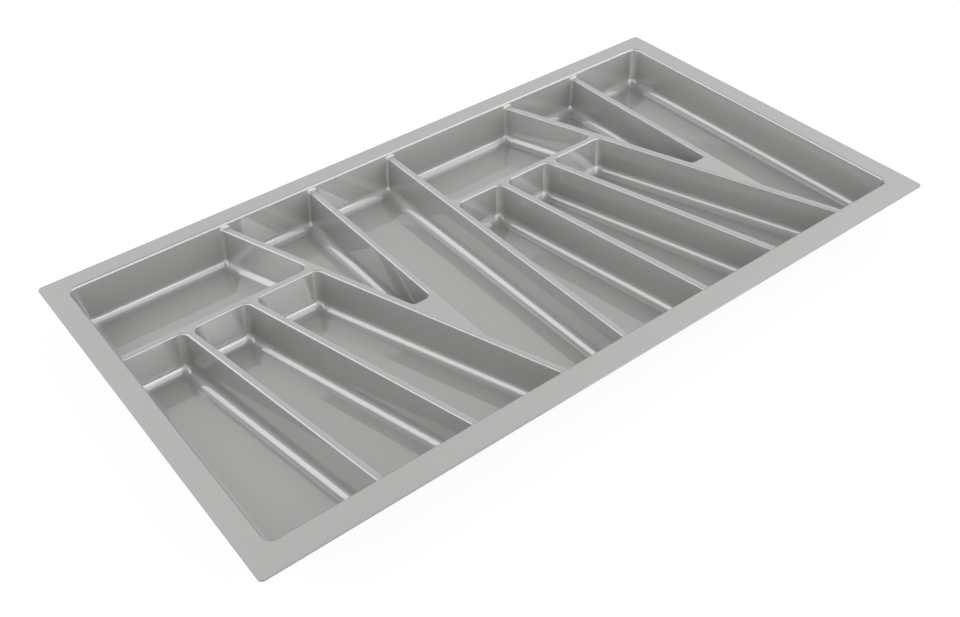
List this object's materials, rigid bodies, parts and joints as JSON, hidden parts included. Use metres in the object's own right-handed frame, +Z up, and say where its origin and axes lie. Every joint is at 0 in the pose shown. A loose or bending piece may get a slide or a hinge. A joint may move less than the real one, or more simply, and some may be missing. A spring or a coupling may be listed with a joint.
{
  "type": "cutlery tray",
  "caption": "Formed plastic drawer insert with a flat flange and slanted dividers that make open compartments for cutlery and utensils.",
  "frame": {"origin": "centre of the tray's outline, on the plane of the floors' undersides", "axes": "+X along the long side to the right, +Y to the back of the drawer, +Z up out of the compartments"},
  "size_m": [0.9, 0.488, 0.055],
  "materials": {
    "tray": "glossy silver-grey, smooth"
  },
  "bodies": {
    "root": {"tray": "tray"}
  },
  "joints": []
}
